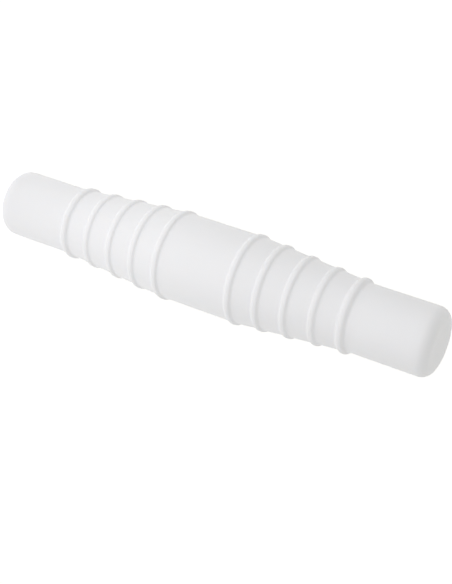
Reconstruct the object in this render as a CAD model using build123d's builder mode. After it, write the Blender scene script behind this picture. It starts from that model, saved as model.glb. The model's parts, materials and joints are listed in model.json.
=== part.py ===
"""Double hose connector: one blown plastic body of revolution, sealed at both ends.

From each end to the middle it has a plain spigot for the hose cuff, a cone with ribs that
grip the cuff, and half of the plain centre. The two halves are alike.
The part stands on one end: the origin is the middle of that end, and +Z runs up its axis.
All sizes are in millimetres.
"""

from build123d import *

import os
from math import radians, tan

# Body. The cone ends a step above the spigot, under the last rib
overall_length = 226.0
spigot_diameter = 32.0
spigot_step = 0.25
centre_diameter = 41.4
wall = 2.0

# Closed ends
end_edge_radius = 5.2
least_inside_bevel = 0.6

# Ribs of one half, counted from the centre outwards. The last one is the taller stop
ribs_per_half = 5
centre_rib_spacing = 38.7
rib_pitch = 13.4
rib_height = 0.9
stop_rib_height = 1.4
rib_flat_width = 1.1
rib_bevel = 0.45
rib_flank_angle = 60.0

# Worked out from the sizes above. Heights are measured from the middle of the part
half_length = overall_length / 2
spigot_radius = spigot_diameter / 2
centre_radius = centre_diameter / 2
cone_tip_radius = spigot_radius + spigot_step
cone_foot = centre_rib_spacing / 2
cone_length = (ribs_per_half - 1) * rib_pitch
cone_tip = cone_foot + cone_length
inside_bevel = max(end_edge_radius - wall, least_inside_bevel)


def plain_radius(height):
    """Radius of the body without its ribs: the centre, then the cone, then the spigot."""
    if height > cone_tip:
        return spigot_radius
    share_of_cone = max((height - cone_foot) / cone_length, 0)
    return centre_radius + share_of_cone * (cone_tip_radius - centre_radius)


def rib_foot(top_radius, top_height, way):
    """Where a rib's flank comes down to the plain body, up or down from a corner of its top."""
    drop = top_radius - plain_radius(top_height)
    height = top_height + way * drop / tan(radians(rib_flank_angle))
    return (plain_radius(height), height)


def rib_corners(number):
    """The four corners of a rib before it is bevelled, foot to foot. Rib 0 is next to the centre."""
    height = cone_foot + number * rib_pitch
    stands_out = stop_rib_height if number == ribs_per_half - 1 else rib_height
    top_radius = plain_radius(height) + stands_out
    half_top = rib_flat_width / 2 + rib_bevel
    return [
        rib_foot(top_radius, height - half_top, -1),
        (top_radius, height - half_top),
        (top_radius, height + half_top),
        rib_foot(top_radius, height + half_top, 1),
    ]


def rib_tops(sketch):
    """The two upper corners of each rib."""
    least_height = min(rib_height, stop_rib_height) / 2
    return sketch.vertices().filter_by(lambda corner: corner.X > plain_radius(corner.Y) + least_height)


def end_corner(sketch):
    """The corner between the spigot's side and its closed end."""
    return sketch.vertices().sort_by(Axis.Y)[-2:].sort_by(Axis.X)[-1]


# One half of the section is drawn upwards from the middle, and mirrored
middle = Plane.XZ.shift_origin((0, 0, half_length))

with BuildPart() as hose_connector:
    # The outside, with its ribs
    with BuildSketch(middle) as outside:
        with BuildLine():
            ribs = [corner for number in range(ribs_per_half) for corner in rib_corners(number)]
            end = [(spigot_radius, half_length), (0, half_length)]
            Polyline((0, 0), (centre_radius, 0), *ribs, *end, close=True)
        make_face()
        fillet(end_corner(outside), end_edge_radius)
        chamfer(rib_tops(outside), rib_bevel)
        mirror(about=Plane.XZ)
    revolve(axis=Axis.Z)

    # The sealed hollow, one wall inside the plain body
    with BuildSketch(middle) as hollow:
        with BuildLine():
            centre_side = [(centre_radius - wall, 0), (centre_radius - wall, cone_foot)]
            spigot_side = [(spigot_radius - wall, cone_tip), (spigot_radius - wall, half_length - wall)]
            Polyline((0, 0), *centre_side, *spigot_side, (0, half_length - wall), close=True)
        make_face()
        chamfer(end_corner(hollow), inside_bevel)
        mirror(about=Plane.XZ)
    revolve(axis=Axis.Z, mode=Mode.SUBTRACT)

hose_connector.part.label = "hose_connector"

os.makedirs("parts", exist_ok=True)
export_step(hose_connector.part, "parts/hose_connector.step")

# What the part measures
box = hose_connector.part.bounding_box()
print(f"Size {box.size.X:.2f} x {box.size.Y:.2f} x {box.size.Z:.2f} mm")
print(f"Plastic {hose_connector.part.volume / 1000:.1f} cm3 in {len(hose_connector.solids())} solid")
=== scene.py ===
# %% [markdown]
# # Double hose connector
# The part is one blown plastic moulding that joins two hoses. It stands on one of its closed
# ends on a pale floor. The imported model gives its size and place, and this script gives it the
# smooth surface and the white plastic of the real one. Lengths are in metres.

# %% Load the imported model
import json
from math import cos, radians, sin

import bmesh
import bpy
from mathutils import Matrix, Vector


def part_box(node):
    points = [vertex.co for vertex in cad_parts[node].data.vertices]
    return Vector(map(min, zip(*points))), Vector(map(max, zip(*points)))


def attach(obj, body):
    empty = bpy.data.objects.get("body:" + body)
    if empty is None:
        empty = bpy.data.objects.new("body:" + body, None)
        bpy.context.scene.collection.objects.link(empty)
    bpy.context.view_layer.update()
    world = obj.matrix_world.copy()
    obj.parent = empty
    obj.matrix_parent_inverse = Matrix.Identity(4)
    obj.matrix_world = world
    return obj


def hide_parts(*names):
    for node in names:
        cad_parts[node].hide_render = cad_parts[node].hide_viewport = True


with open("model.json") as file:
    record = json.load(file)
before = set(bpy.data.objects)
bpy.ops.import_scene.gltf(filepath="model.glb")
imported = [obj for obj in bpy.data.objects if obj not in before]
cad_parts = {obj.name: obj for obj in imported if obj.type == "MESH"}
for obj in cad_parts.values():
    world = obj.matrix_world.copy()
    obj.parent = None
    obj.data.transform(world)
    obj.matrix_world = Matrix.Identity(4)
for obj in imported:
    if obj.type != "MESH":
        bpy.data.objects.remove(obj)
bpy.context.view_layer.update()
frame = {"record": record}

millimetre = 0.001
low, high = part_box("hose_connector")
print("The packed part measures", [round(side / millimetre, 1) for side in high - low], "mm")

# %% [markdown]
# ## Sizes of the moulding
# Every surface of the part is a stretch of one outline, turned round the upright axis. The
# outline follows a rule: a plain centre, a cone with ribs at an even pitch, and a plain spigot,
# and the same again the other way. So a few sizes are enough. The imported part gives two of
# them: the length comes from its box, and the spigot's radius from the mount in its record.
# The last three sizes round the closed ends and the ribs, as the mould does.

# %% Name the sizes
mounts = {mount["name"]: mount for mount in frame["record"]["mounts"]}
spigot_radius = mounts["upper_spigot"]["dims"]["r_mm"] * millimetre
overall_length = high.z - low.z
centre_radius = 20.7 * millimetre
cone_tip_radius = 16.25 * millimetre
centre_rib_spacing = 38.7 * millimetre
ribs_per_half = 5
rib_pitch = 13.4 * millimetre
rib_height = 0.9 * millimetre
stop_rib_height = 1.3 * millimetre
rib_top_width = 2.0 * millimetre
rib_flank_angle = radians(50)
end_edge_radius = 5.2 * millimetre
crest_rounding = 1.6 * millimetre
root_rounding = 1.2 * millimetre
print("The part is", round(overall_length / millimetre, 1), "mm long")
print("Its spigots have a radius of", round(spigot_radius / millimetre, 1), "mm")

# %% [markdown]
# ## White plastic
# The real part is polyethylene, which is a milky white and a little see-through just below its
# skin, so light spreads in it and softens the edges. Its skin comes from a blasted mould: it is
# satin, with a fine grain and slight waves where it cooled. A flat white would look like paper.
# The colour and the spread are the same all over, so they are set on the shader itself. Two
# noises make the waves and the grain. Both give the bump, and the waves also make the satin a
# little uneven.

# %% Name the finish
milky_plastic = {
    "Base Color": (0.82, 0.82, 0.85, 1),
    "IOR": 1.5,
    "Subsurface Weight": 0.2,
    "Subsurface Radius": (1.0, 0.9, 0.8),
    "Subsurface Scale": 2 * millimetre,
}
satin_roughness = {"To Min": 0.42, "To Max": 0.58}
cooling_waves = {"Scale": 60, "Detail": 2}
height_of_waves = {"Strength": 0.5, "Distance": 0.1 * millimetre}
mould_grain = {"Scale": 1500, "Detail": 3}
height_of_grain = {"Strength": 0.3, "Distance": 0.02 * millimetre}
print("The roughness runs from", satin_roughness["To Min"], "to", satin_roughness["To Max"])


# %% Make the white plastic
def set_inputs(node, values):
    """Set inputs of a node to plain values, each by its name."""
    for name, value in values.items():
        node.inputs[name].default_value = value


def add_node(tree, kind, label, inputs=None, **settings):
    """Add one node to a tree, label it, and set its inputs and its properties by name."""
    node = tree.nodes.new(kind)
    node.label = label
    for name, value in settings.items():
        setattr(node, name, value)
    set_inputs(node, inputs or {})
    return node


def make_white_plastic():
    """Milky, satin plastic with slight waves and the grain of its mould."""
    material = bpy.data.materials.new("satin_white_plastic")
    material.use_nodes = True
    tree = material.node_tree
    link = tree.links.new
    shader = tree.nodes["Principled BSDF"]
    set_inputs(shader, milky_plastic)

    place = add_node(tree, "ShaderNodeTexCoord", "Place on the part")
    waves = add_node(tree, "ShaderNodeTexNoise", "Waves from cooling", cooling_waves)
    grain = add_node(tree, "ShaderNodeTexNoise", "Grain of the mould", mould_grain)
    link(place.outputs["Object"], waves.inputs["Vector"])
    link(place.outputs["Object"], grain.inputs["Vector"])

    sheen = add_node(tree, "ShaderNodeMapRange", "Satin, a little uneven", satin_roughness)
    link(waves.outputs["Fac"], sheen.inputs["Value"])
    link(sheen.outputs["Result"], shader.inputs["Roughness"])

    wave_bump = add_node(tree, "ShaderNodeBump", "Wave bump", height_of_waves)
    grain_bump = add_node(tree, "ShaderNodeBump", "Grain bump", height_of_grain)
    link(waves.outputs["Fac"], wave_bump.inputs["Height"])
    link(grain.outputs["Fac"], grain_bump.inputs["Height"])
    link(wave_bump.outputs["Normal"], grain_bump.inputs["Normal"])
    link(grain_bump.outputs["Normal"], shader.inputs["Normal"])
    return material


white_plastic = make_white_plastic()
print("Made", white_plastic.name, "with", len(white_plastic.node_tree.nodes), "nodes")

# %% [markdown]
# ## A tree of nodes that draws the outline
# The outline could be typed in as a list of points, but then a change of pitch would mean typing
# it again. Here Geometry Nodes work each point out from its number. The inputs of the tree are
# the sizes and counts below, under their names, so it can make other connectors of this kind.

# %% Name the inputs of the tree
longest_step = 1.2 * millimetre
steps_in_each_corner = 6
steps_around = 128

tree_sizes = {
    "Overall Length": overall_length,
    "Spigot Radius": spigot_radius,
    "Centre Radius": centre_radius,
    "Cone Tip Radius": cone_tip_radius,
    "Centre Rib Spacing": centre_rib_spacing,
    "Rib Pitch": rib_pitch,
    "Rib Height": rib_height,
    "Stop Rib Height": stop_rib_height,
    "Rib Top Width": rib_top_width,
    "Rib Flank Angle": rib_flank_angle,
    "End Edge Radius": end_edge_radius,
    "Crest Rounding": crest_rounding,
    "Root Rounding": root_rounding,
    "Longest Step": longest_step,
}
tree_counts = {
    "Ribs Per Half": ribs_per_half,
    "Steps In Each Corner": steps_in_each_corner,
    "Steps Around": steps_around,
}
print("The tree takes", len(tree_sizes), "sizes and", len(tree_counts), "counts")

# %% Start the tree
moulding_tree = bpy.data.node_groups.new("Ribbed Moulding", "GeometryNodeTree")
add_socket = moulding_tree.interface.new_socket
add_socket("Geometry", in_out="INPUT", socket_type="NodeSocketGeometry")
for name in tree_sizes:
    add_socket(name, in_out="INPUT", socket_type="NodeSocketFloat")
for name in tree_counts:
    add_socket(name, in_out="INPUT", socket_type="NodeSocketInt")
add_socket("Plastic", in_out="INPUT", socket_type="NodeSocketMaterial")
add_socket("Geometry", in_out="OUTPUT", socket_type="NodeSocketGeometry")

join = moulding_tree.links.new


def moulding_node(kind, label, inputs=None, **settings):
    """Add a node to the tree of the moulding."""
    return add_node(moulding_tree, kind, label, inputs, **settings)


group_in = moulding_node("NodeGroupInput", "Sizes")
group_out = moulding_node("NodeGroupOutput", "Moulding")
print("Started the tree", moulding_tree.name)

# %% [markdown]
# ## Sums as nodes
# In a tree each step of a sum is a Math node. These helpers add such a node, feed it and return
# its result, so that the rule of the outline reads nearly like a formula.


# %% Write sums as Math nodes
def feed(socket, value):
    """Give a socket a plain number or another node's output."""
    if isinstance(value, (int, float)):
        socket.default_value = value
    else:
        join(value, socket)


def size(name):
    """One of the tree's named inputs."""
    return group_in.outputs[name]


def calculate(operation, *values):
    """Add a Math node and feed it its values in order."""
    node = moulding_node("ShaderNodeMath", operation.title(), operation=operation)
    for socket, value in zip(node.inputs, values):
        feed(socket, value)
    return node.outputs["Value"]


def add(a, b):
    return calculate("ADD", a, b)


def subtract(a, b):
    return calculate("SUBTRACT", a, b)


def multiply(a, b):
    return calculate("MULTIPLY", a, b)


def divide(a, b):
    return calculate("DIVIDE", a, b)


def is_less(a, b):
    return calculate("LESS_THAN", a, b)


def choose(condition, if_true, if_false):
    """Pick one of two numbers: condition is 1 or 0."""
    node = moulding_node("ShaderNodeMix", "Choose")
    feed(node.inputs["Factor"], condition)
    feed(node.inputs["A"], if_false)
    feed(node.inputs["B"], if_true)
    return node.outputs["Result"]


print("The helpers write into", moulding_tree.name)

# %% [markdown]
# ## Number each point of the outline
# From the middle outwards, each rib has four corners, and after the last rib come the corner at
# the closed end and the point on the axis. The lower half has the same points with the sign
# turned. So a point's number tells which half it is in, which rib it belongs to and which
# corner of that rib it is. The four corners lie 1.5, 0.5, 0.5 and 1.5 from their own middle, so
# the two that are less than 1 away are the top, and the other two are the feet.

# %% Work out the rib and the corner
corners_per_rib = 4
points_after_ribs = 2
middle_of_corners = (corners_per_rib - 1) / 2

number = moulding_node("GeometryNodeInputIndex", "Point number").outputs["Index"]
rib_points = multiply(size("Ribs Per Half"), corners_per_rib)
half_points = add(rib_points, points_after_ribs)
in_lower_half = is_less(number, half_points)
upper_step = subtract(number, half_points)
lower_step = subtract(subtract(half_points, 1), number)
step = choose(in_lower_half, lower_step, upper_step)
side = choose(in_lower_half, -1.0, 1.0)
last_rib = subtract(size("Ribs Per Half"), 1)
rib = calculate("MINIMUM", calculate("FLOOR", divide(step, corners_per_rib)), last_rib)
corner = subtract(step, multiply(rib, corners_per_rib))
from_middle = subtract(corner, middle_of_corners)
is_top = is_less(calculate("ABSOLUTE", from_middle), 1)
is_rib = is_less(step, rib_points)
print("Each half has", ribs_per_half * corners_per_rib + points_after_ribs, "points")

# %% [markdown]
# ## Radius of the plain body
# A rib stands on the plain body, so the body's radius at a height is worked out first, with a
# Map Range node that is clamped: it stays level over the centre and slopes over the cone. The
# spigot begins at the tip of the cone and is a little thinner than it.

# %% Work out the plain radius
half_length = divide(size("Overall Length"), 2)
cone_foot = divide(size("Centre Rib Spacing"), 2)
cone_tip = add(cone_foot, multiply(last_rib, size("Rib Pitch")))


def cone_radius(height):
    """Radius of the centre and the cone, without ribs, at a height from the middle."""
    node = moulding_node("ShaderNodeMapRange", "Centre, then cone", clamp=True)
    feed(node.inputs["Value"], height)
    feed(node.inputs["From Min"], cone_foot)
    feed(node.inputs["From Max"], cone_tip)
    feed(node.inputs["To Min"], size("Centre Radius"))
    feed(node.inputs["To Max"], size("Cone Tip Radius"))
    return node.outputs["Result"]


def plain_radius(height):
    """Radius of the centre, the cone and the spigot, without ribs."""
    return choose(is_less(cone_tip, height), size("Spigot Radius"), cone_radius(height))


print("The cone takes", round((ribs_per_half - 1) * rib_pitch / millimetre, 1), "mm of each half")

# %% [markdown]
# ## Place each point
# The two corners at a rib's top stand out from the body by the rib's height. From there the
# flanks come down at their angle, so the feet lie on the body a little further out. To ask
# whether two whole numbers are equal, the tree asks if they are less than half a step apart.

# %% Work out the corners of a rib
half_step = 0.5

rib_middle = add(cone_foot, multiply(rib, size("Rib Pitch")))
is_stop = is_less(subtract(last_rib, rib), half_step)
stands_out = choose(is_stop, size("Stop Rib Height"), size("Rib Height"))
half_top = divide(size("Rib Top Width"), 2)
top_radius = add(cone_radius(rib_middle), stands_out)
which_way = calculate("SIGN", from_middle)
top_height = add(rib_middle, multiply(which_way, half_top))
drop = subtract(top_radius, plain_radius(top_height))
flank_run = divide(drop, calculate("TANGENT", size("Rib Flank Angle")))
reach = choose(is_top, half_top, add(half_top, flank_run))
rib_corner_height = add(rib_middle, multiply(which_way, reach))
rib_corner_radius = choose(is_top, top_radius, plain_radius(rib_corner_height))
rib_rounding = choose(is_top, size("Crest Rounding"), size("Root Rounding"))
print("The ribs are placed, and the last one is the taller stop")

# %% Work out radius, height and rounding of every point
is_end_corner = is_less(step, add(rib_points, half_step))
end_radius = choose(is_end_corner, size("Spigot Radius"), 0.0)
point_radius = choose(is_rib, rib_corner_radius, end_radius)
height_from_middle = choose(is_rib, rib_corner_height, half_length)
point_height = add(half_length, multiply(side, height_from_middle))
rounding = choose(is_rib, rib_rounding, size("End Edge Radius"))
print("The outline's rule takes", len(moulding_tree.nodes), "nodes so far")

# %% [markdown]
# ## Draw and round the outline
# A Mesh Line gives the points, Set Position puts them where the rule says, and Fillet Curve
# turns every corner into an arc of its own radius. The long straight stretches are then divided,
# because smooth shading bends across a long face that has a round one for a neighbour.

# %% Draw the outline
points = moulding_node("GeometryNodeMeshLine", "Points")
join(multiply(half_points, 2), points.inputs["Count"])
point_place = moulding_node("ShaderNodeCombineXYZ", "Radius and height")
join(point_radius, point_place.inputs["X"])
join(point_height, point_place.inputs["Z"])
moved = moulding_node("GeometryNodeSetPosition", "Put each point in its place")
join(points.outputs["Mesh"], moved.inputs["Geometry"])
join(point_place.outputs["Vector"], moved.inputs["Position"])
line = moulding_node("GeometryNodeMeshToCurve", "One line")
join(moved.outputs["Geometry"], line.inputs["Mesh"])
rounded = moulding_node("GeometryNodeFilletCurve", "Round the corners", mode="POLY")
join(line.outputs["Curve"], rounded.inputs["Curve"])
join(size("Steps In Each Corner"), rounded.inputs["Count"])
join(rounding, rounded.inputs["Radius"])
set_inputs(rounded, {"Limit Radius": True})
print("The outline is drawn and rounded")

# %% Divide its long stretches
here = moulding_node("GeometryNodeInputPosition", "Here").outputs["Position"]
own_number = moulding_node("GeometryNodeInputIndex", "Own number").outputs["Index"]
next_place = moulding_node("GeometryNodeFieldAtIndex", "Next point", data_type="FLOAT_VECTOR")
join(here, next_place.inputs["Value"])
join(add(own_number, 1), next_place.inputs["Index"])
gap = moulding_node("ShaderNodeVectorMath", "Length of the stretch", operation="DISTANCE")
join(here, gap.inputs[0])
join(next_place.outputs["Value"], gap.inputs[1])
cuts = calculate("FLOOR", divide(gap.outputs["Value"], size("Longest Step")))
divided = moulding_node("GeometryNodeSubdivideCurve", "Divide the long stretches")
join(rounded.outputs["Curve"], divided.inputs["Curve"])
join(cuts, divided.inputs["Cuts"])
outline = divided.outputs["Curve"]
print("No stretch of it is longer than", longest_step / millimetre, "mm")

# %% [markdown]
# ## Turn the outline round the axis
# A Grid has a row for each point of the outline, and a column for each step around and one more.
# Each of its points looks up its radius and height in the outline, and its column gives the
# angle. A grid counts its points column by column, so a division tells the column; the half
# step keeps a whole result from being rounded down. Merge by Distance closes the seam, where
# the last column meets the first, and both poles.

# %% Make a grid and look up the outline
outline_size = moulding_node(
    "GeometryNodeAttributeDomainSize", "Points on the outline", component="CURVE"
)
join(outline, outline_size.inputs["Geometry"])
row_count = outline_size.outputs["Point Count"]
skin = moulding_node("GeometryNodeMeshGrid", "Skin")
join(add(size("Steps Around"), 1), skin.inputs["Vertices X"])
join(row_count, skin.inputs["Vertices Y"])

skin_number = moulding_node("GeometryNodeInputIndex", "Skin point number").outputs["Index"]
column = calculate("FLOOR", divide(add(skin_number, half_step), row_count))
row = subtract(skin_number, multiply(column, row_count))
looked_up = moulding_node(
    "GeometryNodeSampleIndex",
    "Radius and height there",
    data_type="FLOAT_VECTOR",
    domain="POINT",
)
outline_place = moulding_node("GeometryNodeInputPosition", "Outline place")
join(outline, looked_up.inputs["Geometry"])
join(outline_place.outputs["Position"], looked_up.inputs["Value"])
join(row, looked_up.inputs["Index"])
print("The grid has", steps_around + 1, "columns")

# %% Wrap the grid round the axis and close it
full_turn = radians(360)
same_place = 0.001 * millimetre

angle = divide(multiply(column, full_turn), size("Steps Around"))
split = moulding_node("ShaderNodeSeparateXYZ", "Radius, height")
join(looked_up.outputs["Value"], split.inputs["Vector"])
turned = moulding_node("ShaderNodeCombineXYZ", "Turned place")
join(multiply(split.outputs["X"], calculate("COSINE", angle)), turned.inputs["X"])
join(multiply(split.outputs["X"], calculate("SINE", angle)), turned.inputs["Y"])
join(split.outputs["Z"], turned.inputs["Z"])
wrapped = moulding_node("GeometryNodeSetPosition", "Wrap the skin")
join(skin.outputs["Mesh"], wrapped.inputs["Geometry"])
join(turned.outputs["Vector"], wrapped.inputs["Position"])
closed = moulding_node(
    "GeometryNodeMergeByDistance", "Close the seam and the poles", {"Distance": same_place}
)
join(wrapped.outputs["Geometry"], closed.inputs["Geometry"])
print("Points closer than", same_place / millimetre, "mm become one")

# %% [markdown]
# ## End the tree
# The skin is shaded smooth, made real and given its plastic. Real means that a copied shape
# becomes a mesh of its own. This skin is one mesh already, but other programs can't read copies,
# so a tree whose result is exported ends this way.

# %% End the tree
smooth = moulding_node("GeometryNodeSetShadeSmooth", "Smooth")
real = moulding_node("GeometryNodeRealizeInstances", "Real mesh")
finish = moulding_node("GeometryNodeSetMaterial", "Plastic")
join(closed.outputs["Geometry"], smooth.inputs["Geometry"])
join(smooth.outputs["Geometry"], real.inputs["Geometry"])
join(real.outputs["Geometry"], finish.inputs["Geometry"])
join(size("Plastic"), finish.inputs["Material"])
join(finish.outputs["Geometry"], group_out.inputs["Geometry"])
print("The tree has", len(moulding_tree.nodes), "nodes")

# %% [markdown]
# ## Run the tree once and keep the plain mesh
# The tree runs as a modifier on an empty mesh. Its inputs are set by each socket's identifier,
# which stays the same when a name is changed. The result is copied to a plain mesh, so that
# other programs can read it, and its faces are checked to point outwards.


# %% Make the moulding
def run_tree(name, tree, values):
    """Run a tree on an empty mesh and return an object with the plain result."""
    seed = bpy.data.objects.new(name + "_seed", bpy.data.meshes.new(name + "_seed"))
    bpy.context.collection.objects.link(seed)
    modifier = seed.modifiers.new("Tree", "NODES")
    modifier.node_group = tree
    for socket in tree.interface.items_tree:
        if socket.in_out == "INPUT" and socket.name in values:
            modifier[socket.identifier] = values[socket.name]
    bpy.context.view_layer.update()
    depsgraph = bpy.context.evaluated_depsgraph_get()
    mesh = bpy.data.meshes.new_from_object(seed.evaluated_get(depsgraph))
    bpy.data.objects.remove(seed)
    piece = bpy.data.objects.new(name, mesh)
    bpy.context.collection.objects.link(piece)
    return piece


tree_values = {**tree_sizes, **tree_counts, "Plastic": white_plastic}
moulding = run_tree("ribbed_moulding", moulding_tree, tree_values)
print("Made", moulding.name, "with", len(moulding.data.polygons), "faces")


# %% Check that it is closed and faces outwards
def point_outwards(piece):
    """Turn a mesh's faces outwards, and return its volume and how many edges are open."""
    work = bmesh.new()
    work.from_mesh(piece.data)
    bmesh.ops.recalc_face_normals(work, faces=work.faces)
    volume = work.calc_volume(signed=True)
    open_edges = sum(not edge.is_manifold for edge in work.edges)
    work.to_mesh(piece.data)
    work.free()
    return volume, open_edges


cubic_centimetre = 1e-6
volume, open_edges = point_outwards(moulding)
print("It takes up", round(volume / cubic_centimetre, 1), "cm3 and has", open_edges, "open edges")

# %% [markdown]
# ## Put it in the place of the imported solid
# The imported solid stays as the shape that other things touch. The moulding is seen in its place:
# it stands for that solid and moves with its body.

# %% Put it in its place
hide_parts("hose_connector")
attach(moulding, "root")
print(moulding.name, "is seen in place of hose_connector")

# %% [markdown]
# ## Which rays see plain white
# The floor and the world have two jobs: they light the part, and they are its plain white
# background. The Light Path node keeps the jobs apart. It tells what kind of ray arrives: rays
# from the camera, off a glossy skin and through clear material see the background, and all the
# others bring the light.


# %% Tell the rays apart
def rays_that_see_white(tree):
    """Return 1 for the rays that see the background, and 0 for those that bring light."""
    kind_of_ray = add_node(tree, "ShaderNodeLightPath", "Kind of ray")
    seen = kind_of_ray.outputs["Is Camera Ray"]
    for name in ("Is Glossy Ray", "Is Transmission Ray"):
        either = add_node(tree, "ShaderNodeMath", "Or " + name, operation="MAXIMUM")
        tree.links.new(seen, either.inputs[0])
        tree.links.new(kind_of_ray.outputs[name], either.inputs[1])
        seen = either.outputs["Value"]
    return seen


print("The white background is for camera, glossy and transmission rays")

# %% [markdown]
# ## Floor
# The floor is plain and pale, and it keeps a soft shadow where the part stands. A little glow
# lifts it to white for the rays that see the background. For the others two soft white cards lie
# there, in front of the part and behind it. They light the ribs from below, more at the foot
# than at the top, and leave the sides to fall off.

# %% Name the floor and its cards
floor_width = 8.0
floor_colour = (0.75, 0.75, 0.75, 1)
glow_to_white = 0.5
card_middle = (0, 0.31, 0)
card_radius = 0.55
card_glow = 1.2
print("A card's glow is", card_glow, "at its middle and ends", card_radius, "m from it")


# %% Make the floor
def make_floor_paint():
    """Pale paint that is white where it is seen, and lights the part as two soft cards."""
    material = bpy.data.materials.new("floor_paint")
    material.use_nodes = True
    tree = material.node_tree
    tree.nodes.clear()
    link = tree.links.new
    paint = add_node(tree, "ShaderNodeBsdfDiffuse", "Pale paint", {"Color": floor_colour})

    floor_place = add_node(tree, "ShaderNodeTexCoord", "Place on the floor")
    mirrored = add_node(tree, "ShaderNodeVectorMath", "Front and back alike", operation="ABSOLUTE")
    away = add_node(tree, "ShaderNodeVectorMath", "Distance from a card", operation="DISTANCE")
    away.inputs[1].default_value = card_middle
    fading = {"From Max": card_radius, "To Min": card_glow, "To Max": 0}
    card = add_node(tree, "ShaderNodeMapRange", "White card", fading, interpolation_type="SMOOTHSTEP")
    link(floor_place.outputs["Object"], mirrored.inputs[0])
    link(mirrored.outputs["Vector"], away.inputs[0])
    link(away.outputs["Value"], card.inputs["Value"])

    strength = add_node(tree, "ShaderNodeMix", "Glow for this ray", {"B": glow_to_white})
    glow = add_node(tree, "ShaderNodeEmission", "Glow")
    link(rays_that_see_white(tree), strength.inputs["Factor"])
    link(card.outputs["Result"], strength.inputs["A"])
    link(strength.outputs["Result"], glow.inputs["Strength"])

    both = add_node(tree, "ShaderNodeAddShader", "Paint and glow")
    output = add_node(tree, "ShaderNodeOutputMaterial", "Floor")
    link(paint.outputs["BSDF"], both.inputs[0])
    link(glow.outputs["Emission"], both.inputs[1])
    link(both.outputs["Shader"], output.inputs["Surface"])
    return material


bpy.ops.mesh.primitive_plane_add(size=floor_width)
floor = bpy.context.object
floor.name = "floor"
floor.data.materials.append(make_floor_paint())
print("The floor is", floor_width, "m wide")

# %% [markdown]
# ## Light
# The photograph is lit softly from all round, as in a light tent: nothing on the satin skin shows
# the shape of a lamp. Area lamps would have to be many and large, so here the world is the tent.
# Its light is dim and a little warm straight above, so the closed end, which faces up, is the
# greyest surface. It grows towards the walls, and more to the front and back than to the sides,
# so that the moulding falls off softly from its middle.

# %% Name the light
ceiling_light = (0.3, 0.295, 0.22, 1)
wall_light = (1.08, 1.08, 1.08, 1)
side_wall_share = 0.64
background_white = (1, 1, 1, 1)

# A Mix node has a set of sockets for each kind of value. Those for colours have these places
colour_a, colour_b, mixed_colour = 6, 7, 2
print("The tent's light is", ceiling_light[:3], "above and", wall_light[:3], "at the walls")


# %% Make the tent
def make_tent():
    """A soft tent for the rays that bring light, and plain white for the others."""
    world = bpy.data.worlds.new("tent")
    world.use_nodes = True
    tree = world.node_tree
    tree.nodes.clear()
    link = tree.links.new

    direction = add_node(tree, "ShaderNodeTexCoord", "Direction")
    level_part = add_node(tree, "ShaderNodeVectorMath", "Level part, sides less", operation="MULTIPLY")
    level_part.inputs[1].default_value = (side_wall_share, 1, 0)
    towards_wall = add_node(
        tree, "ShaderNodeVectorMath", "0 above, 1 at the front and back", operation="LENGTH"
    )
    light = add_node(tree, "ShaderNodeMix", "Ceiling to wall", data_type="RGBA")
    light.inputs[colour_a].default_value = ceiling_light
    light.inputs[colour_b].default_value = wall_light
    tent = add_node(tree, "ShaderNodeBackground", "Tent")
    link(direction.outputs["Generated"], level_part.inputs[0])
    link(level_part.outputs["Vector"], towards_wall.inputs[0])
    link(towards_wall.outputs["Value"], light.inputs["Factor"])
    link(light.outputs[mixed_colour], tent.inputs["Color"])

    white = add_node(tree, "ShaderNodeBackground", "White background", {"Color": background_white})
    mix = add_node(tree, "ShaderNodeMixShader", "Tent or white")
    output = add_node(tree, "ShaderNodeOutputWorld", "World")
    link(rays_that_see_white(tree), mix.inputs["Fac"])
    link(tent.outputs["Background"], mix.inputs[1])
    link(white.outputs["Background"], mix.inputs[2])
    link(mix.outputs["Shader"], output.inputs["Surface"])
    return world


bpy.context.scene.world = make_tent()
print("The world is", bpy.context.scene.world.name)

# %% [markdown]
# ## Camera
# The photograph shows the part from a little above one end, turned on its side. The camera is
# placed by where the middle of the part is, seen from it, and by two angles: how far it looks
# down, and how far it is turned about its own line of sight, a quarter turn and the slant that
# the part has in the picture. The focal length is measured in pixels of the picture.

# %% Name the view
picture_width, picture_height = 452, 584
sensor_size_in_mm = 36.0
focal_pixels = 1316.0
view_down = radians(24.6)
slant_degrees = 19.22
roll = radians(90 + slant_degrees)
middle_from_camera = Vector((-5.9, 11.3, -605.6)) * millimetre
nearest_seen, furthest_seen = 0.01, 50
print("The middle of the part is", round(middle_from_camera.length, 3), "m from the camera")

# %% Place the camera
back = Vector((0, -cos(view_down), sin(view_down)))
level_right = Vector((1, 0, 0))
level_up = back.cross(level_right)
right = cos(roll) * level_right + sin(roll) * level_up
up = back.cross(right)
turn = Matrix((right, up, back)).transposed()
middle = Vector((0, 0, (low.z + high.z) / 2))

camera = bpy.data.objects.new("camera", bpy.data.cameras.new("camera"))
bpy.context.collection.objects.link(camera)
camera.data.sensor_width = sensor_size_in_mm
camera.data.lens = focal_pixels / max(picture_width, picture_height) * sensor_size_in_mm
camera.matrix_world = Matrix.Translation(middle - turn @ middle_from_camera) @ turn.to_4x4()
camera.data.clip_start, camera.data.clip_end = nearest_seen, furthest_seen
bpy.context.scene.camera = camera
print("The camera's lens is", round(camera.data.lens, 1), "mm")

# %% [markdown]
# ## Finish
# The Standard view shows each colour as it is written.

# %% Finish
bpy.context.scene.view_settings.view_transform = "Standard"
